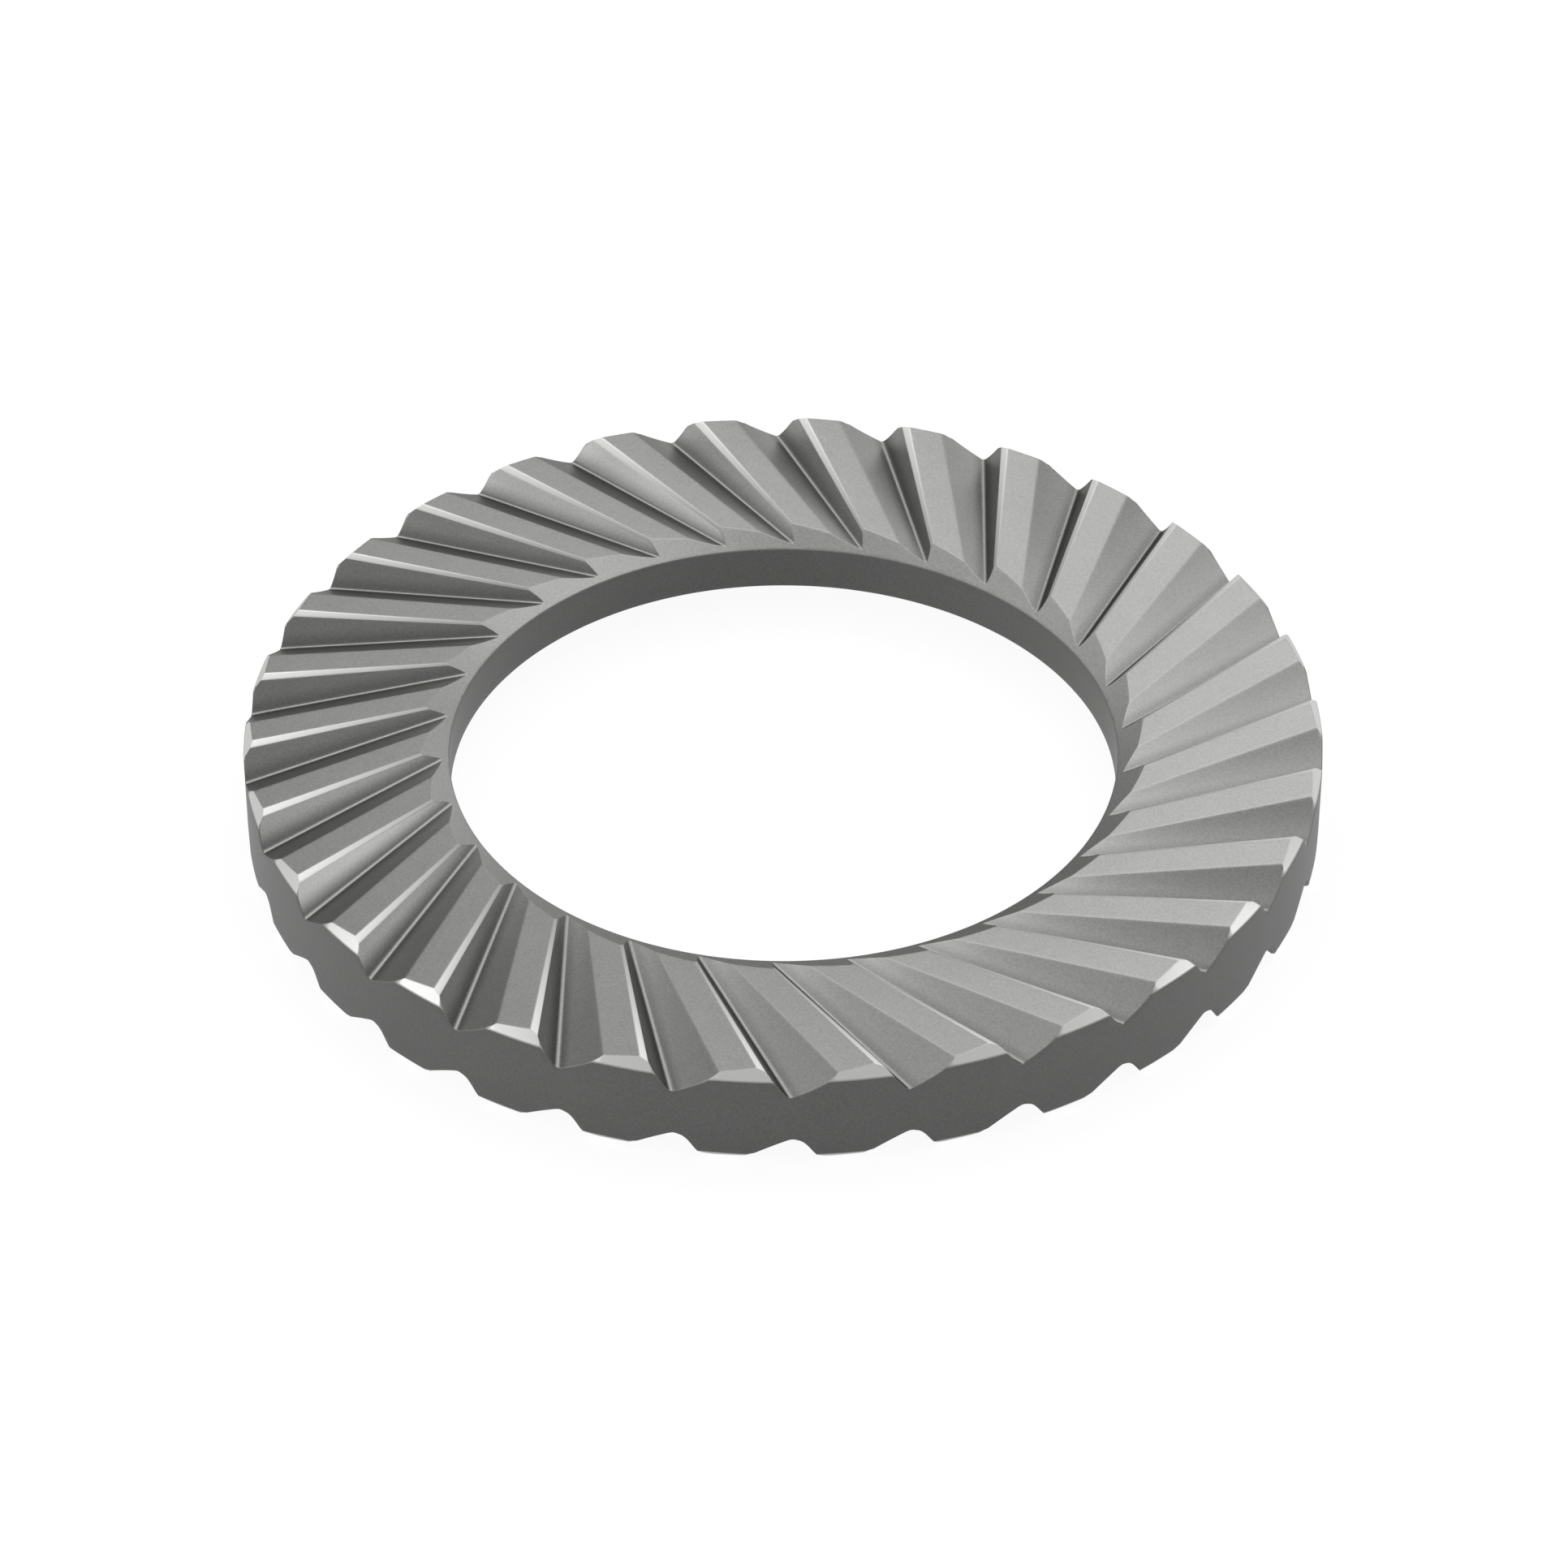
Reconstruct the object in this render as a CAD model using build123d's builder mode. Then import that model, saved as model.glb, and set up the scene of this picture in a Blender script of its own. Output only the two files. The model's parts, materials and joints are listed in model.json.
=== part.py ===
from build123d import *
from math import cos, radians, sin, sqrt, tan
import os

# Serrated safety washer, coined in one piece from spring steel, in millimetres.
# The bore axis is Z and the mid-plane of the ring is Z = 0. Both faces carry a ring of saw
# teeth whose lands climb counter-clockwise, as seen from outside that face. The tooth gaps of
# the two faces lie over each other at the rim, and those of the lower face are rounder.

# Driving sizes of the ring
outer_diameter = 13.2
bore_diameter = 8.2
lead_in_depth = 0.04  # how far the lead-in cone starts below the root line at the bore
lead_in_angle = 26.0  # slope of the cone from the bore up to the tooth ends
bevel_angle = 66.0  # slope of the bevel that the tooth tips have at the rim
bevel_drop = 0.11  # how far the bevel reaches below the top of the ramp at the rim

# Driving sizes of the tooth rings
tooth_count = 30
first_root_angle = 90.0
root_skew = 22.4  # how far a root line turns away from the radius at the rim
lower_ring_turn = 0.67  # how far the lower roots stand counter-clockwise of the upper ones

# One tooth gap of the upper ring in section at the rim. Its root is given by its height above
# the mid-plane, where the hollow flank and the ramp would meet without the narrow flat between
# them. The flank ends in the chamfer of a crest, the ramp in the land of the next tooth.
rim_root_height = 0.305
rim_flank_run = 0.245
rim_flank_rise = 0.326
rim_flank_hollow = 0.018
rim_chamfer_slope = 24.0
rim_ramp_run = 0.6
rim_ramp_rise = 0.33
rim_land_slope = 7.5
rim_root_flat = 0.038  # how far the flat reaches up to each side of the root

# What differs at the rim in a gap of the lower ring, whose root is round
lower_root_height = 0.281
lower_flank_run = 0.27
lower_flank_rise = 0.35
lower_ramp_run = 0.677
lower_ramp_rise = 0.354
lower_root_radius = 0.18

# The section of both rings where the root line reaches the bore
bore_root_height = 0.325
bore_flank_run = 0.087
bore_flank_rise = 0.078
bore_flank_hollow = 0.003
bore_chamfer_slope = 24.0
bore_ramp_run = 0.242
bore_ramp_rise = 0.044
bore_land_slope = 4.3
bore_root_flat = 0.028
bore_root_radius = 0.04

# Room that the blank and the cutter keep beyond the finished teeth
blank_spare = 0.02
cutter_spare = 0.1
cutter_run_out = 0.15

# Sizes that follow. The land is cut one whole pitch past the ramp, beyond the next crest.
rim_radius = outer_diameter / 2
bore_radius = bore_diameter / 2
bore_edge = bore_root_height - lead_in_depth  # half the length of the plain bore
pitch_angle = 360 / tooth_count
rim_pitch = rim_radius * radians(pitch_angle)
rim_shoulder = rim_root_height + rim_ramp_rise  # height of the edge between ramp and land
blank_top = rim_shoulder + rim_pitch * tan(radians(rim_land_slope)) + blank_spare
cutter_top = blank_top + cutter_spare
bevel_foot = rim_shoulder - bevel_drop
skew_per_length = tan(radians(root_skew))
root_offset = rim_radius * sin(radians(root_skew))  # from the axis to the line of a root
bore_station = (
    root_offset * sin(radians(root_skew))
    + sqrt(bore_radius**2 - root_offset**2) * cos(radians(root_skew))
)


def gap_section(ease_root, station, root_height, flank_run, flank_rise, flank_hollow,
                chamfer_slope, ramp_run, ramp_rise, land_slope, root_ease):
    """Draws one tooth gap on the plane X = station, from the chamfer line on the low-Y side
    across the root to the land on the high-Y side, closed above the teeth. The root is eased
    with a chamfer or a fillet of the given size."""
    root_y = (station - rim_radius) * skew_per_length
    flank_y = root_y - flank_run
    flank_z = root_height + flank_rise
    chamfer_run = (cutter_top - flank_z) / tan(radians(chamfer_slope))
    ramp_y = root_y + ramp_run
    ramp_z = root_height + ramp_rise
    land_run = station * radians(pitch_angle)
    land_y = ramp_y + land_run
    land_z = ramp_z + land_run * tan(radians(land_slope))
    across = Plane(origin=(station, 0, 0), x_dir=(0, 1, 0), z_dir=(1, 0, 0))
    with BuildSketch(across) as gap:
        with BuildLine():
            Line((flank_y - chamfer_run, cutter_top), (flank_y, flank_z))
            SagittaArc((flank_y, flank_z), (root_y, root_height), flank_hollow)
            Polyline(
                (root_y, root_height),
                (ramp_y, ramp_z),
                (land_y, land_z),
                (land_y, cutter_top),
                (flank_y - chamfer_run, cutter_top),
            )
        make_face()
        ease_root(gap.vertices().sort_by(Axis.Y)[0], root_ease)
    return gap.sketch


bore_section = (
    bore_root_height, bore_flank_run, bore_flank_rise, bore_flank_hollow, bore_chamfer_slope,
    bore_ramp_run, bore_ramp_rise, bore_land_slope,
)
upper_section = (
    rim_root_height, rim_flank_run, rim_flank_rise, rim_flank_hollow, rim_chamfer_slope,
    rim_ramp_run, rim_ramp_rise, rim_land_slope,
)
lower_section = (
    lower_root_height, lower_flank_run, lower_flank_rise, rim_flank_hollow, rim_chamfer_slope,
    lower_ramp_run, lower_ramp_rise, rim_land_slope,
)


def metal_taken_out(ease_root, at_bore, at_rim):
    """The metal between two teeth, as a ruled cut that narrows from the rim to the bore. It is
    drawn at two stations a little outside the metal, with sizes in line with those given."""
    gap_ends = []
    for station in (bore_station - cutter_run_out, rim_radius + cutter_run_out):
        share = (station - bore_station) / (rim_radius - bore_station)
        sizes = [low + (high - low) * share for low, high in zip(at_bore, at_rim)]
        gap_ends.append(gap_section(ease_root, station, *sizes))
    with BuildPart() as cut:
        loft(gap_ends, ruled=True)
    return cut.part


upper_gap = metal_taken_out(
    chamfer, (*bore_section, bore_root_flat), (*upper_section, rim_root_flat),
)
lower_gap = metal_taken_out(
    fillet, (*bore_section, bore_root_radius), (*lower_section, lower_root_radius),
)

# The ring before its teeth: plain bore, a lead-in cone on both faces and the rim bevels
with BuildPart() as serrated_washer:
    with BuildSketch(Plane.XZ):
        with BuildLine():
            lead_in_run = (blank_top - bore_edge) / tan(radians(lead_in_angle))
            bevel_run = (blank_top - bevel_foot) / tan(radians(bevel_angle))
            Polyline(
                (bore_radius, 0),
                (bore_radius, bore_edge),
                (bore_radius + lead_in_run, blank_top),
                (rim_radius - bevel_run, blank_top),
                (rim_radius, bevel_foot),
                (rim_radius, 0),
            )
            mirror(about=Plane.XZ)
        make_face()
    revolve(axis=Axis.Z)

    # Upper tooth ring, then the lower one, whose gaps are turned over
    with PolarLocations(0, tooth_count, start_angle=first_root_angle):
        add(upper_gap, mode=Mode.SUBTRACT)
    with Locations(Location((0, 0, 0), (0, 180, 0))):
        with PolarLocations(0, tooth_count, start_angle=first_root_angle - lower_ring_turn):
            add(lower_gap, mode=Mode.SUBTRACT)

serrated_washer.part.label = "serrated_washer"
os.makedirs("parts", exist_ok=True)
export_step(serrated_washer.part, "parts/serrated_washer.step")
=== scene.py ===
import json
import bpy
import numpy as np
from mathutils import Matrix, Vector


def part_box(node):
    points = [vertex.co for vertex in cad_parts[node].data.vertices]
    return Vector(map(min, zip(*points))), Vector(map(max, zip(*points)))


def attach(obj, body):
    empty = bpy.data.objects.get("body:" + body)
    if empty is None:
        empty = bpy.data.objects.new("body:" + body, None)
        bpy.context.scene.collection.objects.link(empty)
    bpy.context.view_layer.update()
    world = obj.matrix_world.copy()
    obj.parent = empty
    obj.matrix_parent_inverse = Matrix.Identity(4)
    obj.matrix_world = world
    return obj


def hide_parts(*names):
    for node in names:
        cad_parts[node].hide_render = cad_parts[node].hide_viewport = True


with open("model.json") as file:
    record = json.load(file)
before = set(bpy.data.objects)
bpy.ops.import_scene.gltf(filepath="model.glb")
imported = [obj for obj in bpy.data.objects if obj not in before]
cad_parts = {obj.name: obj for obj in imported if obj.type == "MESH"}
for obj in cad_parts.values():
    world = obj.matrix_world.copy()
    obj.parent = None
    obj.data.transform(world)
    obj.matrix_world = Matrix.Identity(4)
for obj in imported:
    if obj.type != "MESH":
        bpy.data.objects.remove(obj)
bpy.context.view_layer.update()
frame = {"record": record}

# The washer is one ring of spring steel, punched from sheet and then coined between two dies,
# which strike the saw teeth of both faces, the lead-in cones at the bore and the bevels at the
# rim in one blow. It is coated with matte grey zinc flake.
mm = 0.001
lowest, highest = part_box("serrated_washer")
rim_radius = (highest.x - lowest.x) / 2
bore_radius = frame["record"]["mounts"][0]["dims"]["r_mm"] * mm
bore_wall = frame["record"]["mounts"][0]["dims"]["length_mm"] * mm
lead_in_slope = np.tan(np.radians(26.0))
bevel_slope = np.tan(np.radians(48.0))
bevel_foot = 0.55 * mm
tooth_count = 30
pitch_angle = 2 * np.pi / tooth_count
first_root_angle = np.pi / 2
root_skew = np.radians(22.4)
lower_ring_turn = np.radians(0.67)

# Softness of the edges: the radius of the two outer edges, and how far the corners between the
# coined facets are blended to each side
edge_radius = 0.015 * mm
corner_reach = 0.006 * mm

# Sizes of a tooth gap, first where its root reaches the bore, then at the rim: runs, rises and
# hollows in millimetres, slopes in degrees
upper_gap = {
    "root_height": (0.325, 0.305),
    "flank_run": (0.087, 0.245),
    "flank_rise": (0.079, 0.345),
    "flank_hollow": (0.003, 0.018),
    "chamfer_slope": (24.0, 24.0),
    "ramp_run": (0.242, 0.6),
    "ramp_rise": (0.044, 0.33),
    "ramp_hollow": (0.002, 0.016),
    "land_slope": (4.3, 7.5),
    "root_round": (0.02, 0.055),
    "flank_round": (0.004, 0.01),
    "crest_round": (0.002, 0.006),
    "shoulder_round": (0.002, 0.007),
}
lower_gap = {
    **upper_gap,
    "root_height": (0.325, 0.281),
    "flank_run": (0.087, 0.27),
    "flank_rise": (0.079, 0.369),
    "ramp_run": (0.242, 0.677),
    "ramp_rise": (0.044, 0.354),
    "root_round": (0.03, 0.19),
}

root_offset = rim_radius * np.sin(root_skew)
bore_station = (
    root_offset * np.sin(root_skew)
    + np.sqrt(bore_radius**2 - root_offset**2) * np.cos(root_skew)
)


def between(ends, share):
    """What lies the given share of the way from the first end to the second."""
    return share * (ends[1] - ends[0]) + ends[0]


def lower_of(a, b, reach):
    """The lower of two heights, less a parabola where they differ by under the reach."""
    return np.minimum(a, b) - np.maximum(reach - np.abs(a - b), 0) ** 2 / (4 * reach)


def higher_of(a, b, reach):
    """The higher of two heights, with the same rounding."""
    return -lower_of(-a, -b, reach)


def sizes_at(x, gap):
    """Each size of the gap at a distance x along the radius to its root's rim end."""
    share = (x - bore_station) / (rim_radius - bore_station)
    sizes = {name: between(ends, share) for name, ends in gap.items()}
    return {
        name: np.tan(np.radians(size)) if name.endswith("slope") else size * mm
        for name, size in sizes.items()
    }


def walls_of_gap(x, y, gap):
    """Height of a gap's walls over (x, y), in the frame whose X axis is the radius to the
    root's rim end. The flank is a line from the root, less the sag of its hollow, and turns
    into the chamfer. On the other side the ramp does the same and turns into the land. The
    higher of the two sides holds, rounded at the root."""
    size = sizes_at(x, gap)
    from_root = y - (x - rim_radius) * np.tan(root_skew)
    root_z = size["root_height"]
    up_flank = np.clip(-from_root / size["flank_run"], 0, 1)
    up_ramp = np.clip(from_root / size["ramp_run"], 0, 1)
    flank = (
        root_z - from_root * size["flank_rise"] / size["flank_run"]
        - 4 * size["flank_hollow"] * up_flank * (1 - up_flank)
        * np.hypot(size["flank_run"], size["flank_rise"]) / size["flank_run"]
    )
    chamfer = (
        root_z + size["flank_rise"]
        - (from_root + size["flank_run"]) * size["chamfer_slope"]
    )
    ramp = (
        root_z + from_root * size["ramp_rise"] / size["ramp_run"]
        - 4 * size["ramp_hollow"] * up_ramp * (1 - up_ramp)
    )
    land = (
        root_z + size["ramp_rise"]
        + (from_root - size["ramp_run"]) * size["land_slope"]
    )
    return higher_of(
        lower_of(flank, chamfer, size["flank_round"]),
        lower_of(ramp, land, size["shoulder_round"]),
        size["root_round"],
    )


def walls_beside(radius, angle, gap):
    """Heights of the walls of the gaps at a tooth's two ends. The angle runs from 0 at the
    root's rim end to minus one pitch at the next root's."""
    return [
        walls_of_gap(radius * np.cos(turned), radius * np.sin(turned), gap)
        for turned in (angle, angle + pitch_angle)
    ]


def tooth_height(radius, angle, gap):
    """Height of a tooth, as the lower of the walls at its two ends, rounded at the crest."""
    ahead, behind = walls_beside(radius, angle, gap)
    return lower_of(ahead, behind, sizes_at(radius, gap)["crest_round"])


def angle_on_line(radius, beside_root):
    """Angle at which a line that runs beside the root line reaches a radius. The pair gives its
    distance from the root at the bore and at the rim, in millimetres."""
    at_bore, at_rim = beside_root
    slope = np.tan(root_skew) + (at_rim - at_bore) * mm / (rim_radius - bore_station)
    start = at_rim * mm - rim_radius * slope
    x = -start * slope + np.sqrt(radius**2 * (1 + slope**2) - start**2)
    x = x / (1 + slope**2)
    return np.arctan2(start + slope * x, x)


crest_halvings = 25


def column_angles(radius, gap):
    """Angles of the grid's columns over one tooth, at radii given for each row and column. They
    are spread between the tooth's edges: root, flank top, crest, shoulder and next root. The
    crest, where the walls at both ends are level, is found by halving the span that holds it."""
    root = angle_on_line(radius, (0.0, 0.0))
    flank_top = angle_on_line(radius, tuple(-run for run in gap["flank_run"]))
    shoulder = angle_on_line(radius, gap["ramp_run"]) - pitch_angle
    crest_low, crest_high = shoulder, flank_top
    for _ in range(crest_halvings):
        middle = (crest_low + crest_high) / 2
        ahead, behind = walls_beside(radius, middle, gap)
        crest_low = np.where(ahead > behind, middle, crest_low)
        crest_high = np.where(ahead > behind, crest_high, middle)
    edges = [root, flank_top, crest_low, shoulder, root - pitch_angle]
    before = np.choose(column_edge, edges[:-1])
    after = np.choose(column_edge, edges[1:])
    return before + (after - before) * column_share


# Columns of the grid over one tooth: the share of the way from each edge to the next
flank_shares = [0, 0.07, 0.14, 0.21, 0.3, 0.42, 0.56, 0.7, 0.82, 0.91, 0.97]
chamfer_shares = [0, 0.15, 0.4, 0.7, 0.88]
land_shares = [0, 0.03, 0.08, 0.3, 0.6, 0.9, 0.96]
ramp_shares = [0, 0.03, 0.08, 0.25, 0.42, 0.58, 0.72, 0.82, 0.9, 0.96]
shares = [flank_shares, chamfer_shares, land_shares, ramp_shares]
column_share = np.concatenate(shares)
column_edge = np.concatenate([[edge] * len(part) for edge, part in enumerate(shares)])
next_root = len(shares)

# Rows of the grid: the turn round an outer edge, the way over a corner between two facets, and
# shares of the way along the cone, the tooth and the bevel, crowded near the ends
quarter = np.linspace(0, np.pi / 2, 5)[:, None]
over_corner = np.linspace(-1, 1, 5)[:, None]
along_cone = np.array([[0.12], [0.5], [0.88]])
near_ends = [0.008, 0.03, 0.97, 0.992]
along_tooth = np.sort([*near_ends, *np.linspace(0.1, 0.9, 12)])[:, None]
along_bevel = np.array([[0.12], [0.88]])

# The radii where a column leaves the cone and meets the bevel are found step by step, from a
# first guess this far from the walls
facet_guess = 0.1 * mm
facet_steps = 40


def tooth_sheet(gap):
    """One face of the washer over one tooth, as a stack of grids with a row for each step from
    the bore to the rim. The face is the lowest of the teeth, the lead-in cone and the rim bevel,
    and rows are crowded where these meet. The stack holds radius, angle and height, and then
    what marks the finish: how far across the tooth a point is, counted in edges from its root,
    and the share of cone, of bevel and of punched wall in it."""
    to_cone = np.full((1, column_share.size), bore_radius + facet_guess)
    to_bevel = np.full((1, column_share.size), rim_radius - facet_guess)
    cone_start, bevel_end = bore_radius + edge_radius, rim_radius - edge_radius
    for _ in range(facet_steps):
        height = tooth_height(to_cone, column_angles(to_cone, gap), gap)
        to_cone = bore_radius + (height - bore_wall / 2) / lead_in_slope
        height = tooth_height(to_bevel, column_angles(to_bevel, gap), gap)
        to_bevel = rim_radius - (height - bevel_foot) / bevel_slope
        to_bevel = np.minimum(to_bevel, bevel_end - 2 * corner_reach)
    radius = np.concatenate([
        bore_radius + edge_radius * (1 - np.cos(quarter)) + 0 * to_cone,
        between((cone_start, to_cone - corner_reach), along_cone),
        to_cone + corner_reach * over_corner,
        between((to_cone + corner_reach, to_bevel - corner_reach), along_tooth),
        to_bevel + corner_reach * over_corner,
        between((to_bevel + corner_reach, bevel_end), along_bevel),
        rim_radius - edge_radius * (1 - np.sin(quarter)) + 0 * to_bevel,
    ])
    angle = column_angles(radius, gap)
    cone = bore_wall / 2 + (radius - bore_radius) * lead_in_slope
    bevel = bevel_foot + (rim_radius - radius) * bevel_slope
    tooth = tooth_height(radius, angle, gap)
    height = lower_of(tooth, cone, corner_reach * lead_in_slope)
    height = lower_of(height, bevel, corner_reach * bevel_slope)
    # The outer edges are quarter circles down to the walls at rim and bore
    wall = np.zeros_like(radius)
    for before_edge in (bevel_end - radius, radius - bore_radius - edge_radius):
        past = np.clip(-before_edge, 0, edge_radius)
        height = height - edge_radius + np.sqrt(edge_radius**2 - past**2)
        wall = wall + past / edge_radius
    return np.stack([
        radius, angle, height,
        0 * radius + column_edge + column_share,
        np.clip((tooth - cone) / (corner_reach * lead_in_slope) + 0.5, 0, 1),
        np.clip((tooth - bevel) / (corner_reach * bevel_slope) + 0.5, 0, 1),
        wall,
    ])


def all_round(sheet):
    """The sheet of one tooth, repeated clockwise round the ring."""
    ring = np.tile(sheet, (1, 1, tooth_count))
    ring[1] += first_root_angle
    ring[1] -= np.repeat(np.arange(tooth_count), column_share.size) * pitch_angle
    return ring


def turned_over(ring):
    """The ring of teeth turned over about the Y axis and then turned on a little about the bore,
    with its columns put in clockwise order."""
    ring = np.roll(ring[:, :, ::-1], 1, axis=2)
    ring[1] = np.pi + lower_ring_turn - ring[1]
    ring[2] *= -1
    return ring


def wall_between(top, bottom, count):
    """Rows of a round wall between two edges, each a stack with one row. Angle and height run
    evenly from one to the other."""
    share = np.linspace(0, 1, count + 2)[1:-1, None]
    rows = top + (bottom - top) * share
    rows[1] = top[1] + ((bottom[1] - top[1] + np.pi) % (2 * np.pi) - np.pi) * share
    return rows


upper = all_round(tooth_sheet(upper_gap))
lower = turned_over(all_round(tooth_sheet(lower_gap)))

# A root leans back by this many whole teeth from the rim to the bore and out again to the rim
lean = round(2 * (first_root_angle - upper[1, 0, 0]) / pitch_angle)
lean_columns = lean * column_share.size
lower_at_bore = np.roll(lower[:, :1], -lean_columns, axis=2)
outside = wall_between(upper[:, -1:], lower[:, -1:], count=8)
inside = wall_between(lower_at_bore, upper[:, :1], count=4)
grid = np.concatenate([upper, outside, lower[:, ::-1], inside], axis=1)
radius, angle, height, across, cone, bevel, wall = grid
points = np.stack([radius * np.cos(angle), radius * np.sin(angle), height], axis=-1)

# Every four neighbours on the grid are one face. The lower face's last row meets the bore wall
# some whole teeth further round.
rows, columns = radius.shape
index = np.arange(rows * columns).reshape(rows, columns)
next_index = np.roll(index, -1, axis=0)
lower_end = rows - inside.shape[1] - 1
next_index[lower_end] = np.roll(next_index[lower_end], lean_columns)
quads = np.stack(
    [index, np.roll(index, -1, axis=1), np.roll(next_index, -1, axis=1), next_index], axis=-1
).reshape(-1, 4)

mesh = bpy.data.meshes.new("coined_washer")
mesh.from_pydata(points.reshape(-1, 3).tolist(), [], quads.tolist())
mesh.polygons.foreach_set("use_smooth", np.ones(len(quads), bool))
for name, marks in (("cone", cone), ("bevel", bevel), ("wall", wall)):
    layer = mesh.attributes.new(name, "FLOAT", "POINT")
    layer.data.foreach_set("value", marks.astype(np.float32).ravel())

# The map over a tooth: across it as a share of the way from its root to the next, and along it
# as a share of the way from the bore to the rim. At a tooth's far side the next root counts as
# its own end, not as the start of the next tooth.
corner_across = across.ravel()[quads]
far_side = (corner_across == 0) & (corner_across.max(axis=1, keepdims=True) > next_root / 2)
corner_across[far_side] = next_root
corner_along = (radius.ravel()[quads] - bore_radius) / (rim_radius - bore_radius)
over_tooth = mesh.uv_layers.new(name="over_tooth")
places = np.stack([corner_across / next_root, corner_along], axis=-1)
over_tooth.data.foreach_set("uv", places.astype(np.float32).ravel())
mesh.update()
washer = bpy.data.objects.new("coined_washer", mesh)
bpy.context.scene.collection.objects.link(washer)


class Wire:
    """A socket of a material's node tree. An operator on it adds a Math node, and node() adds any
    other node, from its type, its settings and the values or wires of its inputs."""

    def __init__(self, tree, socket=None):
        self.tree = tree
        self.socket = socket

    def node(self, kind, settings, inputs, output=0):
        made = self.tree.nodes.new(kind)
        for name, value in settings.items():
            setattr(made, name, value)
        for name, value in inputs.items():
            if isinstance(value, Wire):
                self.tree.links.new(value.socket, made.inputs[name])
            else:
                made.inputs[name].default_value = value
        return Wire(self.tree, None if output is None else made.outputs[output])

    def math(self, operation, *values):
        return self.node("ShaderNodeMath", {"operation": operation}, dict(enumerate(values)))

    def __add__(self, other):
        return self.math("ADD", self, other)

    def __sub__(self, other):
        return self.math("SUBTRACT", self, other)

    def __rsub__(self, other):
        return self.math("SUBTRACT", other, self)

    def __mul__(self, other):
        return self.math("MULTIPLY", self, other)

    __radd__ = __add__
    __rmul__ = __mul__

    def eased(self, start, end):
        """0 before the start, 1 after the end and an S curve between them."""
        settings = {"interpolation_type": "SMOOTHSTEP"}
        inputs = {"Value": self, "From Min": start, "From Max": end}
        return self.node("ShaderNodeMapRange", settings, inputs)

    def feeds(self, shader, name):
        self.tree.links.new(self.socket, shader.inputs[name])


# The coat is a matte grey of fine flakes, which lie like sand. The bevels, and the crests most
# toward the rim, carry a painted highlight. A painted highlight runs along each root, with a
# painted shade beside it. The punched walls at rim and bore are dull and carry a painted shade.
steel = bpy.data.materials.new("flake_coated_steel")
steel.use_nodes = True
shader = steel.node_tree.nodes["Principled BSDF"]
shader.inputs["Specular Tint"].default_value = (0.25, 0.25, 0.25, 1)
paint = Wire(steel.node_tree)


def mark(name):
    """An attribute of the mesh as a wire."""
    settings = {"attribute_type": "GEOMETRY", "attribute_name": name}
    return paint.node("ShaderNodeAttribute", settings, {}, "Fac")


def sand(scale):
    """Noise about a half, with features of the given number a metre."""
    place = paint.node("ShaderNodeTexCoord", {}, {}, "Object")
    return paint.node("ShaderNodeTexNoise", {}, {"Vector": place, "Scale": scale, "Detail": 2.0})


# Where a point lies: how many edges across the tooth from its root, how far along from the bore
# to the rim, and its shares of lead-in cone, rim bevel and punched wall
place = paint.node("ShaderNodeUVMap", {"uv_map": "over_tooth"}, {})
from_root = place.node("ShaderNodeSeparateXYZ", {}, {"Vector": place}, "X") * next_root
along = place.node("ShaderNodeSeparateXYZ", {}, {"Vector": place}, "Y")
on_cone, on_bevel, on_wall = (mark(name) for name in ("cone", "bevel", "wall"))
on_tooth = (1 - on_cone) * (1 - on_bevel) * (1 - on_wall)
bevelled = on_bevel * (1 - on_wall)

# Millimetres from the nearer root, up the flank on one side and up the ramp on the other, from
# the length of each at the bore and at the rim
flank_length = (0.117, 0.408)
ramp_length = (0.246, 0.686)
up_flank = from_root * between(flank_length, along)
up_ramp = (next_root - from_root) * between(ramp_length, along)

# The painted root highlight and the painted shade beside it thin out over these distances. The
# painted highlight of a crest lies on the strip between edge 1, the flank top, and edge 2, the
# crest line.
# Masks of the painted highlight along each root and of the painted shade beside it
painted_root_highlight = (1 - up_flank.eased(0.012, 0.03)) + (1 - up_ramp.eased(0.016, 0.036))
painted_root_shade = (1 - up_flank.eased(0.03, 0.26)) * 0.7 + (1 - up_ramp.eased(0.03, 0.2)) * 0.5
crest = from_root.eased(0.98, 1.04) * (1 - from_root.eased(1.97, 2.05)) * on_tooth
grain = sand(36000.0)
mottling = sand(1800.0)

# Lightness, from 0 for black to 1 for white. A crest's painted highlight is given at the bore and
# at the rim.
coat_tone = 0.372
crest_highlight_tone = (0.36, 0.96)
# The bevels' lightness is a painted highlight
bevel_highlight_tone = 0.88
# Strengths of the painted shade beside the roots, the painted shade on the walls and the painted
# highlight in the roots
root_shade_strength, painted_wall_shade, root_highlight_strength = 0.55, 0.58, 0.115
tone = coat_tone + (grain - 0.5) * 0.2 + (mottling - 0.5) * 0.03
# Painted shade beside each root, darkest at the root
tone = tone * (1 - painted_root_shade * on_tooth * root_shade_strength)
# Painted highlight along each root line
tone = tone + painted_root_highlight * on_tooth * root_highlight_strength
# Painted shade on the punched walls at rim and bore
tone = tone * (1 - on_wall * painted_wall_shade)
# Painted highlight on the crest strip, brighter toward the rim
tone = between((tone, between(crest_highlight_tone, along)), crest)
# Painted highlight on the rim bevels
tone = between((tone, bevel_highlight_tone), bevelled)
colour = tone.node("ShaderNodeCombineColor", {}, {
    "Red": tone, "Green": tone * 1.002, "Blue": tone * 0.985,
})
colour.feeds(shader, "Base Color")

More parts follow.
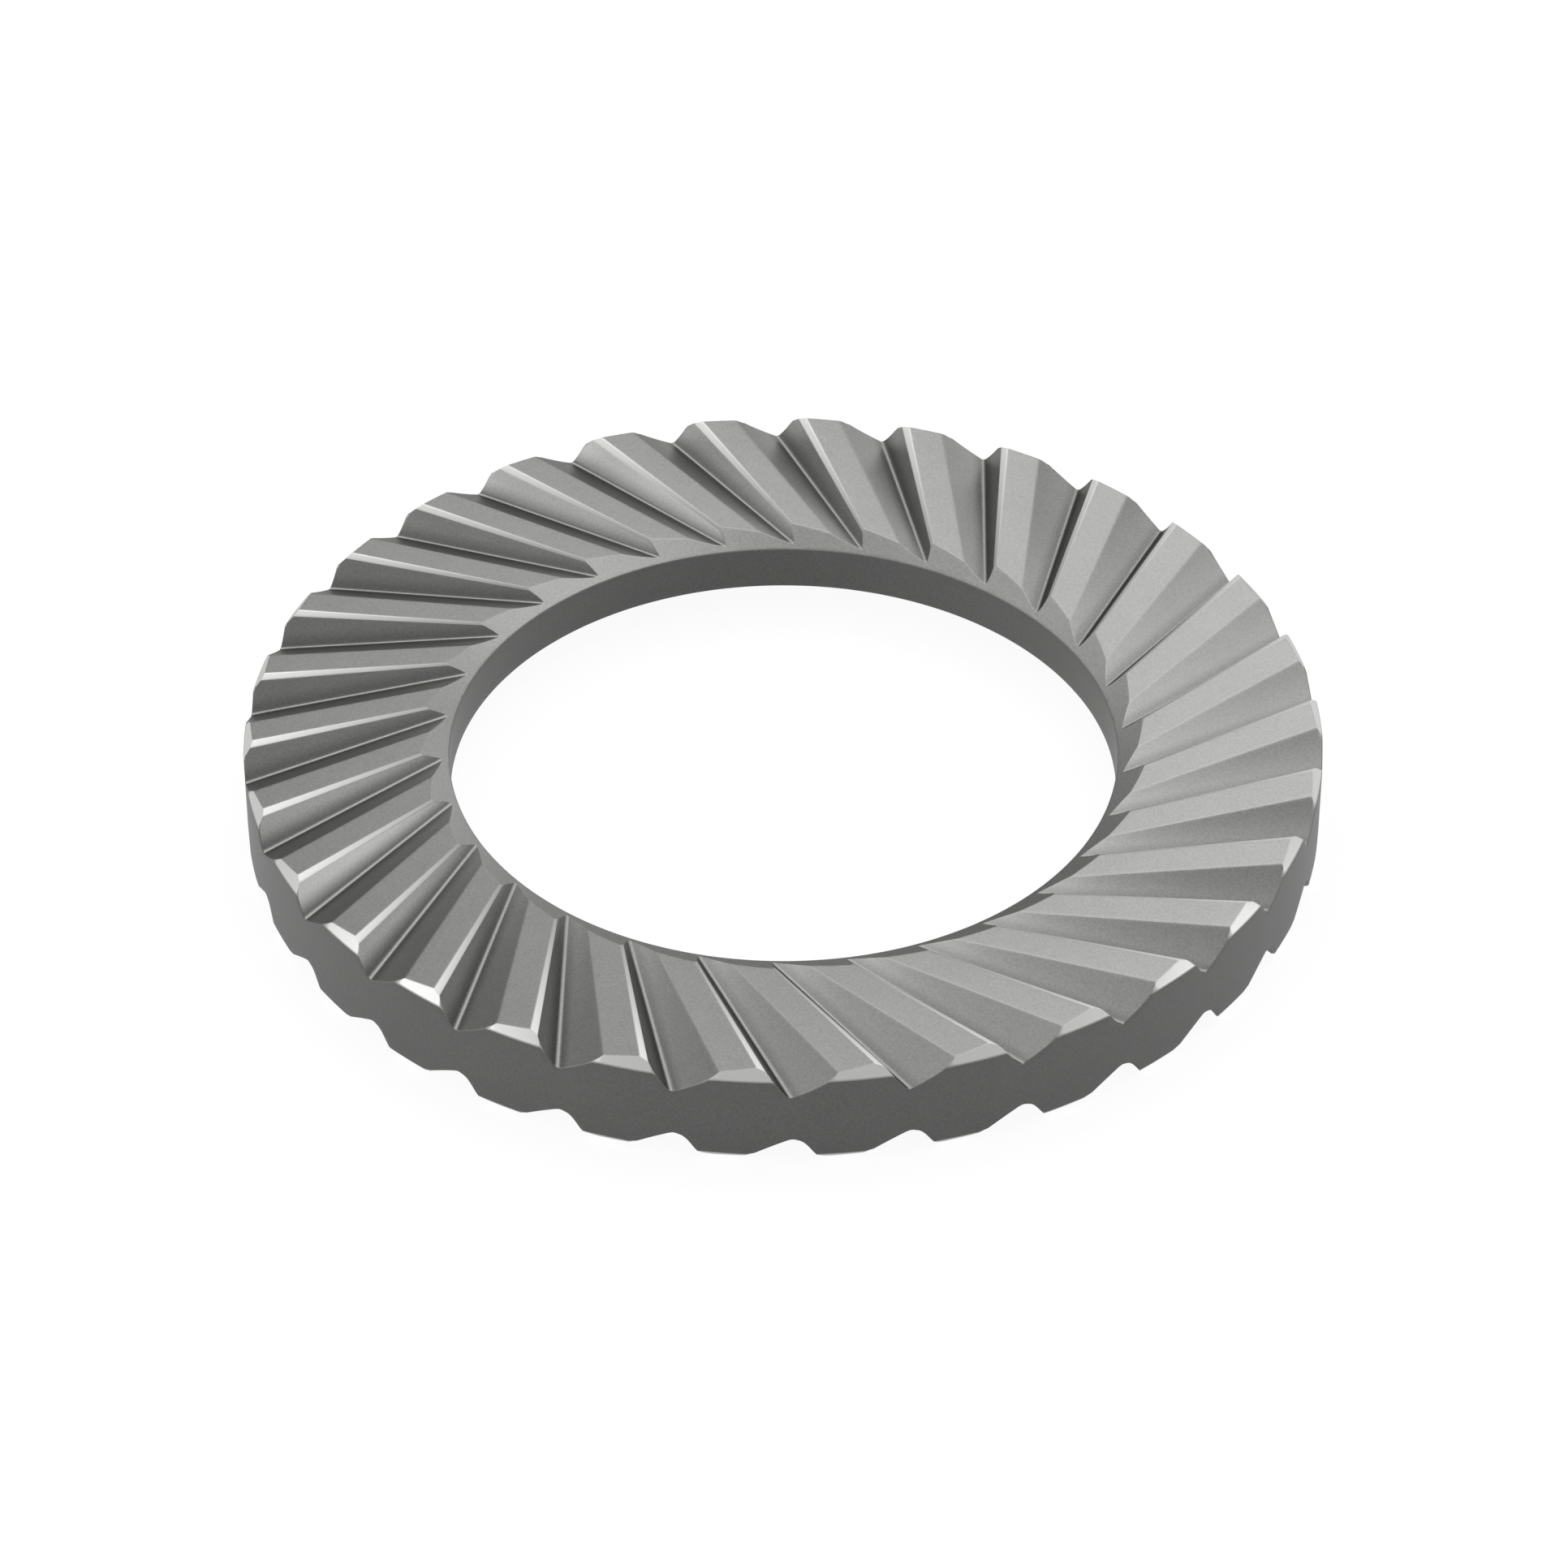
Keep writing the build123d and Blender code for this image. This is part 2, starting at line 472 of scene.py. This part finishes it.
# The crests and bevels under their painted highlight are pale rather than mirror-like, and the
# walls are hardly metallic
metal = 1 - crest * 0.5 - bevelled * 0.35 - on_wall * 0.92
metal.feeds(shader, "Metallic")
rough = 0.39 + on_wall * 0.1 + (grain - 0.5) * 0.1
rough.feeds(shader, "Roughness")
bump = grain.node("ShaderNodeBump", {}, {
    "Height": grain, "Strength": 0.15, "Distance": 0.004 * mm,
})
bump.feeds(shader, "Normal")
mesh.materials.append(steel)

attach(washer, "root")
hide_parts("serrated_washer")

# The floor is a plain white table top, level with the lowest crests that the washer rests on.
# The view and reflections see it as white, under a soft shadow of the washer.
floor_half = 4.0
floor_mesh = bpy.data.meshes.new("table_top")
corners = [(-1, -1), (1, -1), (1, 1), (-1, 1)]
floor_mesh.from_pydata(
    [(x * floor_half, y * floor_half, lowest.z) for x, y in corners], [], [(0, 1, 2, 3)]
)
floor = bpy.data.objects.new("table_top", floor_mesh)
bpy.context.scene.collection.objects.link(floor)
white_table = bpy.data.materials.new("white_table")
white_table.use_nodes = True
white_table.node_tree.nodes.clear()
table = Wire(white_table.node_tree)

# 1 on the rays that come from the camera, or off metal or through glass, and 0 on others
camera_ray, glossy_ray, glass_ray = (
    table.node("ShaderNodeLightPath", {}, {}, kind)
    for kind in ("Is Camera Ray", "Is Glossy Ray", "Is Transmission Ray")
)
seen_directly = table.math("MAXIMUM", table.math("MAXIMUM", camera_ray, glossy_ray), glass_ray)

# On those rays most of the table is an even glow, and the rest is paper that takes the shadow
glow_share = 0.85
paper = table.node("ShaderNodeBsdfDiffuse", {}, {"Color": (0.9, 0.9, 0.9, 1)})
glow = table.node("ShaderNodeEmission", {}, {"Color": (1, 1, 1, 1), "Strength": 1.08})
top = table.node("ShaderNodeMixShader", {}, {0: seen_directly * glow_share, 1: paper, 2: glow})
table.node("ShaderNodeOutputMaterial", {}, {"Surface": top}, None)
floor_mesh.materials.append(white_table)

# Light: soft boxes of light that stand far off around the washer, each given by its azimuth from
# the X axis, its elevation, the half angle that it fills and its brightness, in a pale room
soft_boxes = {
    "right": (-3, 4, 20, 1.95),
    "left": (194, 19, 20, 1.65),
    "back": (69, 7, 23, 0.9),
    "overhead": (36, 60, 24, 1.0),
    "back_high": (98, 54, 19, 1.1),
    "left_high": (145, 55, 28, 0.35),
}
for name, (azimuth, elevation, half_angle, brightness) in soft_boxes.items():
    turn, rise, half = np.radians([azimuth, elevation, half_angle])
    toward_box = Vector((np.cos(turn) * np.cos(rise), np.sin(turn) * np.cos(rise), np.sin(rise)))
    lamp = bpy.data.lights.new("soft_box_" + name, "SUN")
    lamp.angle = 2 * half
    lamp.energy = brightness * np.pi * np.sin(half) ** 2
    soft_box = bpy.data.objects.new("soft_box_" + name, lamp)
    soft_box.rotation_euler = toward_box.to_track_quat("Z", "Y").to_euler()
    bpy.context.scene.collection.objects.link(soft_box)
room_light = 0.39
room_colour = (room_light, room_light, room_light, 1)
studio = bpy.data.worlds.new("studio")
studio.use_nodes = True
studio.node_tree.nodes["Background"].inputs["Color"].default_value = room_colour
bpy.context.scene.world = studio

# The camera looks down at the washer from in front, through a long lens. Its shifts are pixels
# of a square picture.
camera_elevation = np.radians(38.073)
camera_azimuth = np.radians(-0.7)
camera_distance = 77.32 * mm
picture_side = 1932
camera_data = bpy.data.cameras.new("view")
camera_data.lens = 144.22
camera_data.sensor_width = 36.0
camera_data.shift_x = 0.8 / picture_side
camera_data.shift_y = -23.45 / picture_side
camera_data.clip_start = 1 * mm
camera = bpy.data.objects.new("view", camera_data)
bpy.context.scene.collection.objects.link(camera)
toward = Vector((
    np.sin(camera_azimuth) * np.cos(camera_elevation),
    -np.cos(camera_azimuth) * np.cos(camera_elevation),
    np.sin(camera_elevation),
))
camera.location = toward * camera_distance
camera.rotation_euler = toward.to_track_quat("Z", "Y").to_euler()
bpy.context.scene.camera = camera

bpy.context.scene.view_settings.view_transform = "Standard"
